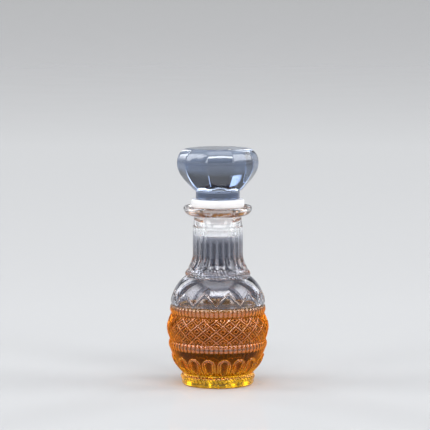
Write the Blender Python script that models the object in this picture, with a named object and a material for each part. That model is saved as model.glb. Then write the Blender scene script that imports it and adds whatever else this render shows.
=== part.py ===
"""A small pressed-glass whiskey decanter: a patterned bottle, its whiskey, and a panelled
glass stopper in a finned plastic sleeve.

Metres, +Z up. The bottle's axis is the Z axis and it stands on z = 0. Angles run from the
front (-Y) towards +X. The bottle's relief is cut into its outline, so each radius is that
of the crests.
"""
import math

import bmesh
import bpy
from mathutils import Vector

# Shared
FIT_GAP = 0.0003
FACE_ON = math.radians(-1.8)  # how far the mould's pattern is turned from the front

# Foot: a smooth ring with a rope of slanted beads on it
FOOT_RADIUS = 0.0241
FOOT_RING_HEIGHT = 0.0038
FOOT_ROUNDING = 0.0022
FOOT_RIM_WIDTH = 0.0048
PUNT_HEIGHT = 0.0014
ROPE_HEIGHT = 0.0038
ROPE_DEPTH = 0.0006
ROPE_BEADS = 54
ROPE_LEAN = 0.6  # beads that a strand leans over, across the rope
ROPE_BOW = 0.0009
NOTCH_DEPTH = 0.0013
NOTCH_HEIGHT = 0.0008

# Arches: two nested raised loops round an oval hollow
ARCHES = 18
ARCH_HEIGHT = 0.0122
ARCH_BOW = 0.0015
ARCH_RELIEF = 0.0006
HOLLOW_DEPTH = 0.0010

# Belly: a plain groove, ribs, diamonds, and ribs again
BODY_RADIUS = 0.0330
GROOVE_HEIGHT = 0.0031
RIBS = 64
RIB_HEIGHT = 0.0061
RIB_DEPTH = 0.0006
RIB_BOW = 0.0008
DIAMONDS = 24
CELL_HEIGHT = 0.0070
CELL_ROWS = 2
CELL_DEPTH = 0.0008
DIAMOND_MARGIN = 0.0014
DIAMOND_BOW = 0.0023

# Shoulder: a zigzag line with twelve points, then smooth
ZIGZAGS = 12
ZIGZAG_FOOT = 0.0012
ZIGZAG_HEIGHT = 0.0078
ZIGZAG_RIDGE = 0.0004
ZIGZAG_WIDTH = 0.0008
SHOULDER_HEIGHT = 0.0180

# Neck: a rope ring, flutes that flare out at the foot, and a plain collar
NECK_RING_RADIUS = 0.0213
NECK_RING_HEIGHT = 0.0047
NECK_RING_BOW = 0.0012
NECK_RADIUS = 0.0162
NECK_FOOT_RADIUS = 0.0189
NECK_FLARE_HEIGHT = 0.0080
FLUTES = 24
FLUTE_HEIGHT = 0.0270
FLUTE_DEPTH = 0.0005
COLLAR_RADIUS = 0.0155
COLLAR_HEIGHT = 0.0062

# Lip: a flared disc, dished round the stopper's seat
LIP_RIM_WIDTH = 0.0043
LIP_FLARE_HEIGHT = 0.0052
LIP_EDGE_HEIGHT = 0.0014
LIP_EDGE_WIDTH = 0.0010
DISH_DEPTH = 0.0011
DISH_CLEARANCE = 0.0008
MOUTH_ROUNDING = 0.0005

# Inside of the bottle
WALL = 0.0034
BASE_THICKNESS = 0.0072
BOWL_HEIGHT = 0.0120
BORE_RADIUS = 0.0098
THROAT_HEIGHT = 0.0110
FILL_HEIGHT = 0.0443

# Sleeve: a flange that lies on the lip, and a plug with sealing fins
FLANGE_RADIUS = 0.0171
FLANGE_HEIGHT = 0.0053
FLANGE_ROUNDING = 0.0010
PLUG_LENGTH = 0.0190
FINS = 4
FIN_PITCH = 0.0037
FIN_HEIGHT = 0.0014
FIN_DEPTH = 0.0008
PLUG_FLOOR = 0.0020

# Stopper head: a panelled knob on a round neck, with a shank in the sleeve
SHANK_RADIUS = 0.0060
SHANK_TAPER = 0.0004
HEAD_NECK_RADIUS = 0.0143
HEAD_NECK_HEIGHT = 0.0052
HEAD_NECK_FILLET = 0.0009
HEAD_RADIUS = 0.0264
HEAD_HEIGHT = 0.0274
HEAD_TOP_RADIUS = 0.0181
PANELS = 10
PANEL_DEPTH = 0.0011
PANEL_EDGE = math.radians(-14)  # the bearing of an edge between two panels

# Facets round each plain stretch, and in each repeat of a pattern
FOOT_COLUMNS = 54
LIP_COLUMNS = 48
CAVITY_COLUMNS = 36
SLEEVE_COLUMNS = 36
ZIGZAG_COLUMNS = 6
FLUTE_COLUMNS = 3
PANEL_COLUMNS = 4
SHARP_ANGLE = 50
WELD = 0.000001

# Outlines and patterns, as shares of the sizes that they follow
ARCH_TOP_SHARE = 0.918
GROOVE_TOP_SHARE = 0.940
LOWER_NOTCH_SHARE = 0.946
UPPER_NOTCH_SHARE = 0.915
SHOULDER_SHARE = 0.914
SHOULDER_CENTRE_SHARE = 0.24
THROAT_SHARE = 0.88
PUNT_SHARE = 0.92
BOWL_SQUARENESS = 2.2
FLARE_CURVE = 1.5
ROPE_SHARES = (0.0, 0.2, 0.65, 1.0)
ARCH_SPRING_SHARE = 0.5
ARCH_EDGE_SHARES = (0.0, 0.25, 0.5, 0.78, 1.0)
# Half width, half width at the foot, foot and crown in the tile, and cut in the relief
ARCH_LOOP_SHARES = (
    (0.45, 0.45, 0.00, 0.97, 1.0),
    (0.40, 0.38, 0.04, 0.92, 0.0),
    (0.33, 0.27, 0.09, 0.84, 0.8),
    (0.27, 0.18, 0.15, 0.76, 0.1),
)
HOLLOW_SHARE = 0.40
# Height up the band, and cut in the relief
RIB_SHARES = ((0.0, 0.0), (0.12, 0.8), (0.8, 1.0), (1.0, 0.0))
FLUTE_SHARES = ((0.0, 0.0), (0.05, 0.7), (0.14, 1.0), (0.28, 1.0), (0.97, 1.0), (1.0, 0.0))
CELL_SHARE = 0.66
PEAK_SHARE = 0.15
# How far each ring follows the zigzag, its place across the line, and its ridge
ZIGZAG_SHARES = ((0.0, -1.0, 0.0), (1.0, -0.5, 0.0), (1.0, 0.0, 1.0), (1.0, 0.5, 0.0))
SHOULDER_SHARES = (0.12, 0.42, 0.72, 1.0)
THROAT_SHARES = (0.3, 0.62, 1.0)
BOWL_SHARES = (0.03, 0.14, 0.34, 0.64, 1.0)
HEAD_WIDEST_SHARE = 0.64
HEAD_BOWL_SHARES = (0.0, 0.12, 0.27, 0.44, 0.63, 0.82, 1.0)
HEAD_CROWN_SHARES = (0.27, 0.52, 0.74, 0.9, 1.0)
CROWN_SQUARENESS = 2.2

# Levels, from the table up
WAIST = FOOT_RING_HEIGHT + ROPE_HEIGHT
ARCH_BASE = WAIST + NOTCH_HEIGHT
GROOVE_BASE = ARCH_BASE + ARCH_HEIGHT
LOWER_RIB_BASE = GROOVE_BASE + GROOVE_HEIGHT
DIAMOND_BASE = LOWER_RIB_BASE + RIB_HEIGHT
DIAMOND_TOP = DIAMOND_BASE + 2 * DIAMOND_MARGIN + CELL_ROWS * CELL_HEIGHT
SHOULDER_BASE = DIAMOND_TOP + RIB_HEIGHT
SHOULDER_TOP = SHOULDER_BASE + SHOULDER_HEIGHT
NECK_BASE = SHOULDER_TOP + NECK_RING_HEIGHT + NOTCH_HEIGHT
COLLAR_BASE = NECK_BASE + FLUTE_HEIGHT
LIP_BASE = COLLAR_BASE + COLLAR_HEIGHT
LIP_TOP = LIP_BASE + LIP_FLARE_HEIGHT + LIP_EDGE_HEIGHT
SEAT = LIP_TOP - DISH_DEPTH
WHISKEY_LEVEL = BASE_THICKNESS + FILL_HEIGHT
FLANGE_BASE = SEAT + FIT_GAP
FLANGE_TOP = FLANGE_BASE + FLANGE_HEIGHT
PLUG_BASE = FLANGE_BASE - PLUG_LENGTH
SOCKET_BASE = PLUG_BASE + PLUG_FLOOR
HEAD_BASE = FLANGE_TOP + FIT_GAP

# Radii that follow from their neighbours'
WAIST_RADIUS = FOOT_RADIUS - NOTCH_DEPTH
SHOULDER_TOP_RADIUS = NECK_RING_RADIUS - ROPE_DEPTH
SHOULDER_CENTRE = SHOULDER_CENTRE_SHARE * SHOULDER_TOP_RADIUS
SHOULDER_REACH = BODY_RADIUS * SHOULDER_SHARE - SHOULDER_CENTRE
SHOULDER_CLOSING = (SHOULDER_TOP_RADIUS - SHOULDER_CENTRE) / SHOULDER_REACH
SHOULDER_RISE = SHOULDER_HEIGHT / math.sqrt(1 - SHOULDER_CLOSING ** 2)
LIP_RADIUS = FLANGE_RADIUS + DISH_CLEARANCE + LIP_RIM_WIDTH
PLUG_RADIUS = BORE_RADIUS - FIT_GAP - FIN_DEPTH
SOCKET_RADIUS = SHANK_RADIUS + FIT_GAP

# Each join of the belly's bands: its level, its radius, and the swell of the band above it
BELLY_JOINS = (
    (ARCH_BASE, WAIST_RADIUS + ARCH_RELIEF, ARCH_BOW),
    (GROOVE_BASE, BODY_RADIUS * ARCH_TOP_SHARE, 0.0),
    (LOWER_RIB_BASE, BODY_RADIUS * GROOVE_TOP_SHARE, RIB_BOW),
    (DIAMOND_BASE, BODY_RADIUS * LOWER_NOTCH_SHARE, DIAMOND_BOW),
    (DIAMOND_TOP, BODY_RADIUS * UPPER_NOTCH_SHARE, RIB_BOW),
    (SHOULDER_BASE, BODY_RADIUS * SHOULDER_SHARE, 0.0),
)

# Colours
CLEAR_GLASS = (0.90, 0.94, 0.97, 1.0)
AMBER = (0.62, 0.20, 0.02, 1.0)
MILKY_WHITE = (0.92, 0.92, 0.90, 1.0)


def place(angle, radius, height):
    """A place by its angle from the front, its distance from the axis and its height."""
    return Vector((radius * math.sin(angle), -radius * math.cos(angle), height))


def bowed(low, high, bow, share):
    """A radius that runs from low to high and swells by bow halfway."""
    return low + (high - low) * share + bow * math.sin(math.pi * share)


def between(low, high, shares):
    return [low + (high - low) * share for share in shares]


def arc(radius, height, reach, rise, start, end, steps):
    """Outline points on an elliptical arc round (radius, height), by angles in degrees."""
    turns = [math.radians(start + (end - start) * step / steps) for step in range(steps + 1)]
    return [(radius + reach * math.cos(turn), height + rise * math.sin(turn)) for turn in turns]


def shoulder_radius(height, inset):
    """The shoulder's elliptical curve, or the curve that lies inside it by a wall."""
    climb = min(1.0, (height - SHOULDER_BASE) / (SHOULDER_RISE - inset))
    return SHOULDER_CENTRE + (SHOULDER_REACH - inset) * math.sqrt(1 - climb ** 2)


def belly_radius(height):
    """The bottle's outer radius between waist and neck ring, at the crests of its relief."""
    if height >= SHOULDER_BASE:
        return shoulder_radius(height, 0.0)
    for (low, low_radius, bow), (high, high_radius, _) in zip(BELLY_JOINS, BELLY_JOINS[1:]):
        if height <= high:
            share = max(0.0, (height - low) / (high - low))
            return bowed(low_radius, high_radius, bow, share)


def cavity_radius(height):
    """The inside of the bottle: a wall in from the belly, rounded off at the floor."""
    if height >= SHOULDER_BASE:
        return shoulder_radius(height, WALL)
    short = 1 - min(1.0, (height - BASE_THICKNESS) / BOWL_HEIGHT)
    rounding = (1 - short ** BOWL_SQUARENESS) ** (1 / BOWL_SQUARENESS)
    return (belly_radius(height) - WALL) * rounding


def cavity_outline():
    """(radius, height) points from beside the floor's centre up to the whiskey's surface."""
    bowl_top = BASE_THICKNESS + BOWL_HEIGHT
    levels = between(BASE_THICKNESS, bowl_top, BOWL_SHARES)
    levels += between(bowl_top, WHISKEY_LEVEL, (0.25, 0.5, 0.75, 1.0))
    return [(cavity_radius(level), level) for level in levels]


def throat_outline():
    """(radius, height) points from above the whiskey's surface up to the bore."""
    base = SHOULDER_BASE + (SHOULDER_RISE - WALL) * THROAT_SHARE
    levels = between(WHISKEY_LEVEL, base, (0.3, 0.55, 0.78, 1.0))
    points = [(cavity_radius(level), level) for level in levels]
    widest = cavity_radius(base)
    for share in THROAT_SHARES:
        narrowing = math.sin(math.pi / 2 * share)
        radius = widest + (BORE_RADIUS - widest) * narrowing
        points.append((radius, base + THROAT_HEIGHT * share))
    return points


# Rings of vertices, and the faces between them

def ring(mesh, count, at):
    """A ring of vertices, each where at(step) puts it, as angle, radius and height."""
    return [mesh.verts.new(place(*at(step))) for step in range(count)]


def plain_ring(mesh, count, radius, height):
    return ring(mesh, count, lambda step: (FACE_ON + math.tau * step / count, radius, height))


def span(mesh, lower, upper):
    """A row of faces between two rings of like counts, facing out where upper is above."""
    for step in range(len(lower)):
        after = (step + 1) % len(lower)
        mesh.faces.new((lower[step], lower[after], upper[after], upper[step]))


def span_all(mesh, rings):
    for lower, upper in zip(rings, rings[1:]):
        span(mesh, lower, upper)
    return rings[0], rings[-1]


def stitch(mesh, lower, upper):
    """Triangles between two rings of unlike counts, as in the notches between the bands."""
    start = math.atan2(lower[0].co.x, -lower[0].co.y)

    def turn(vertex):
        return (math.atan2(vertex.co.x, -vertex.co.y) - start) % math.tau

    upper = sorted(upper, key=turn)
    lower_turns = [0.0] + [turn(vertex) for vertex in lower[1:]] + [math.tau]
    upper_turns = [turn(vertex) for vertex in upper] + [math.tau + turn(upper[0])]
    left = right = 0
    while left < len(lower) or right < len(upper):
        along_lower = right == len(upper)
        if left < len(lower) and right < len(upper):
            along_lower = lower_turns[left + 1] <= upper_turns[right + 1]
        near = lower[left % len(lower)]
        far = upper[right % len(upper)]
        if along_lower:
            left += 1
            mesh.faces.new((near, lower[left % len(lower)], far))
        else:
            right += 1
            mesh.faces.new((near, upper[right % len(upper)], far))


def turned(mesh, count, outline):
    """Rings along an outline of (radius, height) points; gives the first and the last."""
    return span_all(mesh, [plain_ring(mesh, count, radius, height) for radius, height in outline])


def spun(count, outline):
    """A solid of revolution from an outline whose two ends lie on the axis."""
    mesh = bmesh.new()
    points = [mesh.verts.new(place(FACE_ON, radius, height)) for radius, height in outline]
    edges = [mesh.edges.new(pair) for pair in zip(points, points[1:])]
    bmesh.ops.spin(
        mesh, geom=points + edges, cent=(0, 0, 0), axis=(0, 0, 1), angle=math.tau, steps=count)
    bmesh.ops.remove_doubles(mesh, verts=mesh.verts, dist=WELD)
    bmesh.ops.recalc_face_normals(mesh, faces=mesh.faces)
    return mesh


def cap(mesh, edge, height, facing_up):
    """Closes a ring with triangles to a point on the axis."""
    centre = mesh.verts.new(place(0.0, 0.0, height))
    for step in range(len(edge)):
        after = (step + 1) % len(edge)
        pair = (edge[step], edge[after]) if facing_up else (edge[after], edge[step])
        mesh.faces.new((*pair, centre))


# The bottle's bands, each giving its lowest and its highest ring

def rope(mesh, base, height, low, high, bow):
    """Slanted beads round a ring; the columns lean with the beads, so crests stay sharp."""
    columns = 2 * ROPE_BEADS
    rings = []
    for share in ROPE_SHARES:
        lean = ROPE_LEAN * math.tau / ROPE_BEADS * share
        cut = ROPE_DEPTH * math.sin(math.pi * share)
        rings.append(ring(mesh, columns, lambda step: (
            FACE_ON + math.tau * step / columns - lean,
            bowed(low, high, bow, share) - cut * (step % 2),
            base + height * share,
        )))
    return span_all(mesh, rings)


def arches(mesh):
    """Tiles round the waist, each with nested raised loops round a hollow."""
    def spot(tile, across, up, cut):
        angle = FACE_ON + math.tau / ARCHES * (tile + across + 0.5)
        height = ARCH_BASE + ARCH_HEIGHT * up
        return mesh.verts.new(place(angle, belly_radius(height) - cut, height))

    def loop(tile, half, foot_half, foot, crown, cut):
        points = [(-foot_half, foot), (-half, ARCH_SPRING_SHARE / 2)]
        for quarter in range(5):
            turn = math.pi * quarter / 4
            up = ARCH_SPRING_SHARE + (crown - ARCH_SPRING_SHARE) * math.sin(turn)
            points.append((-half * math.cos(turn), up))
        points += [(half, ARCH_SPRING_SHARE / 2), (foot_half, foot)]
        return [spot(tile, across, up, cut * ARCH_RELIEF) for across, up in points]

    edges = [[spot(tile, -0.5, up, ARCH_RELIEF) for up in ARCH_EDGE_SHARES]
             for tile in range(ARCHES)]
    bottom, top = [], []
    for tile in range(ARCHES):
        left, right = edges[tile], edges[(tile + 1) % ARCHES]
        over = spot(tile, 0.0, 1.0, ARCH_RELIEF)
        loops = [loop(tile, *shares) for shares in ARCH_LOOP_SHARES]
        ground = loops[0]
        for step in range(3):
            mesh.faces.new((left[step], ground[step], ground[step + 1], left[step + 1]))
            mesh.faces.new((ground[-1 - step], right[step], right[step + 1], ground[-2 - step]))
        mesh.faces.new((left[3], ground[3], ground[4], over, left[4]))
        mesh.faces.new((ground[5], right[3], right[4], over, ground[4]))
        for outer, inner in zip(loops, loops[1:]):
            span(mesh, inner, outer)
        hollow = spot(tile, 0.0, HOLLOW_SHARE, HOLLOW_DEPTH)
        for step, vertex in enumerate(loops[-1]):
            mesh.faces.new((vertex, hollow, loops[-1][(step + 1) % len(loops[-1])]))
        bottom += [left[0], ground[0], ground[-1]]
        top += [left[4], over]
    return bottom, top


def ribs(mesh, base):
    """Upright ribs with closed ends: every second column is cut in."""
    columns = 2 * RIBS
    rings = []
    for share, cut in RIB_SHARES:
        height = base + RIB_HEIGHT * share
        rings.append(ring(mesh, columns, lambda step: (
            FACE_ON + math.tau * step / columns,
            belly_radius(height) - cut * RIB_DEPTH * (step % 2),
            height,
        )))
    return span_all(mesh, rings)


def diamonds(mesh):
    """A net of raised lines with a small pyramid in each cell, and half cells at its edges."""
    last = 2 * CELL_ROWS
    columns = 2 * DIAMONDS

    def spot(column, row, cut):
        height = DIAMOND_BASE + DIAMOND_MARGIN + CELL_HEIGHT / 2 * row
        angle = FACE_ON + math.tau * column / columns
        return mesh.verts.new(place(angle, belly_radius(height) - cut * CELL_DEPTH, height))

    net = {(column, row): spot(column, row, 0.0)
           for row in range(last + 1) for column in range(row % 2, columns, 2)}
    bottom, top = [], []
    for row in range(last + 1):
        sides = ((-1, 0), (0, -1), (1, 0), (0, 1))
        if row == 0:
            sides = ((1, 0), (0, 1), (-1, 0))
        elif row == last:
            sides = ((-1, 0), (0, -1), (1, 0))
        for column in range(1 - row % 2, columns, 2):
            corners = [net[(column + x) % columns, row + y] for x, y in sides]
            groove = [spot(column + CELL_SHARE * x, row + CELL_SHARE * y, 1.0) for x, y in sides]
            peak = spot(column, row, PEAK_SHARE)
            for side in range(4 if len(sides) == 4 else 2):
                after = (side + 1) % len(sides)
                mesh.faces.new((corners[side], corners[after], groove[after], groove[side]))
                mesh.faces.new((groove[side], groove[after], peak))
            if row == 0:
                bottom += [corners[2], groove[2], peak, groove[0]]
            elif row == last:
                top += [corners[0], groove[0], peak, groove[2]]
    return bottom, top


def shoulder(mesh):
    """A raised zigzag line round the foot of a smooth shoulder."""
    columns = ZIGZAG_COLUMNS * ZIGZAGS
    peaks = SHOULDER_BASE + ZIGZAG_FOOT + ZIGZAG_HEIGHT + ZIGZAG_WIDTH
    rings = []
    for line_share, across_share, ridge_share in ZIGZAG_SHARES:
        def at(step):
            down = abs(step % ZIGZAG_COLUMNS / ZIGZAG_COLUMNS * 2 - 1)
            height = SHOULDER_BASE + ZIGZAG_FOOT + ZIGZAG_HEIGHT * (1 - down) * line_share
            height += ZIGZAG_WIDTH * across_share
            radius = shoulder_radius(height, 0.0) + ZIGZAG_RIDGE * ridge_share
            return FACE_ON + math.tau * step / columns, radius, height
        rings.append(ring(mesh, columns, at))
    for height in between(peaks, SHOULDER_TOP, SHOULDER_SHARES):
        rings.append(plain_ring(mesh, columns, shoulder_radius(height, 0.0), height))
    return span_all(mesh, rings)


def flutes(mesh):
    """Hollow flutes between sharp edges, which flare out at the foot of the neck."""
    columns = FLUTES * FLUTE_COLUMNS
    rings = []
    for share, cut in FLUTE_SHARES:
        height = NECK_BASE + FLUTE_HEIGHT * share
        short = max(0.0, 1 - FLUTE_HEIGHT * share / NECK_FLARE_HEIGHT)
        radius = NECK_RADIUS + (NECK_FOOT_RADIUS - NECK_RADIUS) * short ** FLARE_CURVE
        rings.append(ring(mesh, columns, lambda step: (
            FACE_ON + math.tau * step / columns,
            radius - FLUTE_DEPTH * cut * (step % FLUTE_COLUMNS > 0),
            height,
        )))
    return span_all(mesh, rings)


def lip_outline():
    """From the collar's foot round the flared lip, down its dish and into the mouth."""
    flare_top = LIP_BASE + LIP_FLARE_HEIGHT
    flare_reach = LIP_RADIUS - COLLAR_RADIUS
    edge = LIP_RADIUS - LIP_EDGE_WIDTH
    outline = [(COLLAR_RADIUS, COLLAR_BASE + FLUTE_DEPTH)]
    outline += arc(COLLAR_RADIUS, flare_top, flare_reach, LIP_FLARE_HEIGHT, -90, 0, 4)
    outline += arc(edge, flare_top, LIP_EDGE_WIDTH, LIP_EDGE_HEIGHT, 0, 90, 2)[1:]
    outline.append((FLANGE_RADIUS + DISH_CLEARANCE, SEAT))
    outline.append((BORE_RADIUS + MOUTH_ROUNDING, SEAT))
    return outline


def foot_outline():
    """From the punt's edge over the flat that the bottle stands on, and up the foot ring."""
    contact = FOOT_RADIUS - ROPE_DEPTH - FOOT_ROUNDING
    rim = contact - FOOT_RIM_WIDTH
    outline = [(rim * PUNT_SHARE, PUNT_HEIGHT), (rim, 0.0)]
    outline += arc(contact, FOOT_ROUNDING, FOOT_ROUNDING, FOOT_ROUNDING, -90, 0, 3)
    return outline


# The pieces

def bottle():
    mesh = bmesh.new()
    bands = [turned(mesh, FOOT_COLUMNS, foot_outline())]
    cap(mesh, bands[0][0], PUNT_HEIGHT, facing_up=False)
    foot_top = FOOT_RADIUS - ROPE_DEPTH
    bands.append(rope(mesh, FOOT_RING_HEIGHT, ROPE_HEIGHT, foot_top, WAIST_RADIUS, ROPE_BOW))
    bands.append(arches(mesh))
    bands.append(ribs(mesh, LOWER_RIB_BASE))
    bands.append(diamonds(mesh))
    bands.append(ribs(mesh, DIAMOND_TOP))
    bands.append(shoulder(mesh))
    bands.append(rope(
        mesh, SHOULDER_TOP, NECK_RING_HEIGHT, SHOULDER_TOP_RADIUS, NECK_FOOT_RADIUS, NECK_RING_BOW))
    bands.append(flutes(mesh))
    bands.append(turned(mesh, LIP_COLUMNS, lip_outline()))
    inside = cavity_outline() + throat_outline() + [(BORE_RADIUS, SEAT - MOUTH_ROUNDING)]
    bands.append(turned(mesh, CAVITY_COLUMNS, inside[::-1]))
    for (_, lower_top), (upper_bottom, _) in zip(bands, bands[1:]):
        stitch(mesh, lower_top, upper_bottom)
    cap(mesh, bands[-1][1], BASE_THICKNESS, facing_up=True)
    return finish(mesh, "bottle", CLEAR_GLASS, 0.02, 1.0)


def whiskey():
    """The whiskey, a gap inside the cavity's wall and floor."""
    walls = [(0.0, BASE_THICKNESS)] + cavity_outline()
    outline = [(0.0, BASE_THICKNESS + FIT_GAP)]
    for before, (radius, height), after in zip(walls, walls[1:], walls[2:] + walls[-1:]):
        slope = (Vector(after) - Vector(before)).normalized()
        outline.append((radius - FIT_GAP * slope.y, height + FIT_GAP * slope.x))
    outline.append((0.0, outline[-1][1]))
    return finish(spun(CAVITY_COLUMNS, outline), "whiskey", AMBER, 0.02, 0.9)


def stopper_sleeve():
    """A round flange over a finned plug, with a blind socket for the head's shank."""
    shelf = FLANGE_RADIUS - FLANGE_ROUNDING
    rounding = FLANGE_ROUNDING
    outline = [(0.0, PLUG_BASE), (PLUG_RADIUS - FIN_HEIGHT / 2, PLUG_BASE)]
    for fin in range(FINS):
        middle = PLUG_BASE + FIN_HEIGHT + FIN_PITCH * fin
        outline.append((PLUG_RADIUS, middle - FIN_HEIGHT / 2))
        outline.append((PLUG_RADIUS + FIN_DEPTH, middle))
        outline.append((PLUG_RADIUS, middle + FIN_HEIGHT / 2))
    outline.append((PLUG_RADIUS, FLANGE_BASE))
    outline += arc(shelf, FLANGE_BASE + rounding, rounding, rounding, -90, 0, 2)
    outline += arc(shelf, FLANGE_TOP - rounding, rounding, rounding, 0, 90, 2)
    outline += [(SOCKET_RADIUS, FLANGE_TOP), (SOCKET_RADIUS - SHANK_TAPER, SOCKET_BASE)]
    outline.append((0.0, SOCKET_BASE))
    return finish(spun(SLEEVE_COLUMNS, outline), "stopper_sleeve", MILKY_WHITE, 0.35)


def stopper_head():
    """A solid knob with soft upright panels, whose shank stands in the sleeve's socket."""
    widest = HEAD_BASE + HEAD_NECK_HEIGHT + HEAD_HEIGHT * HEAD_WIDEST_SHARE
    bowl_base = HEAD_BASE + HEAD_NECK_HEIGHT
    top = bowl_base + HEAD_HEIGHT
    start = HEAD_NECK_RADIUS + HEAD_NECK_FILLET
    outline = [(SHANK_RADIUS - SHANK_TAPER, SOCKET_BASE + FIT_GAP, 0.0)]
    outline.append((SHANK_RADIUS, HEAD_BASE, 0.0))
    outline.append((HEAD_NECK_RADIUS, HEAD_BASE, 0.0))
    outline.append((HEAD_NECK_RADIUS, bowl_base - HEAD_NECK_FILLET, 0.0))
    for share in HEAD_BOWL_SHARES:
        radius = start + (HEAD_RADIUS - start) * math.sin(math.pi / 2 * share)
        outline.append((radius, bowl_base + (widest - bowl_base) * share, min(1.0, 2 * share)))
    for share in HEAD_CROWN_SHARES:
        closing = (1 - share ** CROWN_SQUARENESS) ** (1 / CROWN_SQUARENESS)
        radius = HEAD_TOP_RADIUS + (HEAD_RADIUS - HEAD_TOP_RADIUS) * closing
        outline.append((radius, widest + (top - widest) * share, closing))
    columns = PANELS * PANEL_COLUMNS
    mesh = bmesh.new()
    rings = []
    for radius, height, fullness in outline:
        rings.append(ring(mesh, columns, lambda step: (
            PANEL_EDGE + math.tau * step / columns,
            radius - PANEL_DEPTH * fullness * math.sin(math.pi * step / PANEL_COLUMNS % math.pi),
            height,
        )))
    span_all(mesh, rings)
    cap(mesh, rings[0], SOCKET_BASE + FIT_GAP, facing_up=False)
    cap(mesh, rings[-1], top, facing_up=True)
    return finish(mesh, "stopper_head", CLEAR_GLASS, 0.02, 1.0)


def finish(mesh, name, color, roughness, transmission=0.0):
    """Turns a mesh into a named object with its own material."""
    data = bpy.data.meshes.new(name)
    mesh.to_mesh(data)
    mesh.free()
    data.shade_smooth()
    data.set_sharp_from_angle(angle=math.radians(SHARP_ANGLE))
    material = bpy.data.materials.new(name)
    material.use_nodes = True
    shader = material.node_tree.nodes["Principled BSDF"]
    shader.inputs["Base Color"].default_value = color
    shader.inputs["Roughness"].default_value = roughness
    shader.inputs["Transmission Weight"].default_value = transmission
    material.diffuse_color = color
    data.materials.append(material)
    piece = bpy.data.objects.new(name, data)
    bpy.context.scene.collection.objects.link(piece)
    return piece


def main():
    for old in list(bpy.data.objects):
        bpy.data.objects.remove(old)
    bottle()
    whiskey()
    stopper_sleeve()
    stopper_head()


main()
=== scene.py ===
"""The visible shapes and finishes of a small pressed-glass whiskey decanter, and its stage.

Metres, +Z up, the bottle's axis on the Z axis. Angles run from the front (-Y) towards +X.
Each band of the mould's relief has columns of its own, so crests and grooves lie on them.
"""

import math

import bpy
import numpy as np
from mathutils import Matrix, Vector


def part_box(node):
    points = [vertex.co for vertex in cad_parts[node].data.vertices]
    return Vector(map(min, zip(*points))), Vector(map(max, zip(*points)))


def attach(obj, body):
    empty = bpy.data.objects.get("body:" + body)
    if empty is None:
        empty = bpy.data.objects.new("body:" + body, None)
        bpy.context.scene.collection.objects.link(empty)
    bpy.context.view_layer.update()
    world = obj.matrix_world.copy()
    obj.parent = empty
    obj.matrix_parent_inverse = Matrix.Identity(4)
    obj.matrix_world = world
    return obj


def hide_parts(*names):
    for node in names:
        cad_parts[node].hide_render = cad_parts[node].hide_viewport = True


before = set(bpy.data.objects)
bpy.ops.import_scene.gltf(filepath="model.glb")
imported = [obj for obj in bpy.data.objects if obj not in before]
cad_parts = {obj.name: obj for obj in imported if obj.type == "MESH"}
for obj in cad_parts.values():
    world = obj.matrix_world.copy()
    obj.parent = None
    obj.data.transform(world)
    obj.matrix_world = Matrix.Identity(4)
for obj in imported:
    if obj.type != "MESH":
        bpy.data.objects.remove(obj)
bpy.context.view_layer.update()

MM = 0.001
TURN = 2 * math.pi

# Levels and radii that the solids give
LIP_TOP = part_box("bottle")[1].z
WHISKEY_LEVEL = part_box("whiskey")[1].z
PLUG_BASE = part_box("stopper_sleeve")[0].z
FLANGE_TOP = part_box("stopper_sleeve")[1].z
FLANGE_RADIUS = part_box("stopper_sleeve")[1].y
SHANK_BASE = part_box("stopper_head")[0].z
HEAD_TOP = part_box("stopper_head")[1].z

# Where the mould's pattern and the head's panels start, from the front
FACE_ON = math.radians(-1.8)
PANEL_EDGE = math.radians(-14)

# Foot and its rope of slanted beads
FOOT_RADIUS = 24.1 * MM
FOOT_RING_HEIGHT = 3.8 * MM
FOOT_ROUNDING = 2.2 * MM
FOOT_RIM_WIDTH = 4.8 * MM
PUNT_HEIGHT = 1.4 * MM
PUNT_SHARE = 0.92
PUNT_RINGS = (0.3, 0.65, 0.92)  # where the punt's flat middle has rings, as shares of its radius
ROPE_HEIGHT = 3.8 * MM
ROPE_DEPTH = 0.6 * MM
ROPE_BEADS = 54
ROPE_LEAN = 0.6
ROPE_BOW = 0.9 * MM
BEAD_ROUNDNESS = 0.97
BEAD_END_SLOPE = 1.6
NOTCH_DEPTH = 1.3 * MM
NOTCH_HEIGHT = 0.8 * MM

# Arches: a raised loop over a raised oval with a hollow in it
ARCHES = 18
ARCH_HEIGHT = 12.2 * MM
ARCH_BOW = 1.5 * MM
ARCH_RELIEF = 0.55 * MM
ARCH_CROWN = 11.8 * MM
ARCH_HALF_WIDTH = 0.40
OVAL_CENTRE = 5.5 * MM
OVAL_HALF_HEIGHT = 4.9 * MM
OVAL_HALF_WIDTH = 0.255
LOOP_WIDTH = 0.70 * MM
HOLLOW_DEPTH = 1.0 * MM

# Belly: a plain groove, ribs, diamonds and ribs again
BODY_RADIUS = 33.0 * MM
GROOVE_HEIGHT = 3.1 * MM
RIBS = 64
RIB_HEIGHT = 6.1 * MM
RIB_DEPTH = 0.6 * MM
RIB_BOW = 0.8 * MM
RIB_ROUNDNESS = 0.98
RIB_END_SLOPE = 14
DIAMONDS = 24
CELL_HEIGHT = 7.0 * MM
CELL_ROWS = 2
CELL_DEPTH = 0.5 * MM
DIAMOND_MARGIN = 1.4 * MM
DIAMOND_BOW = 2.3 * MM
LATTICE_WIDTH = 0.70 * MM
INNER_DIAMOND = 1.55 * MM
INNER_WIDTH = 0.5 * MM
INNER_SHARE = 0.8  # how high the inner diamond stands, as a share of the lattice

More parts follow.
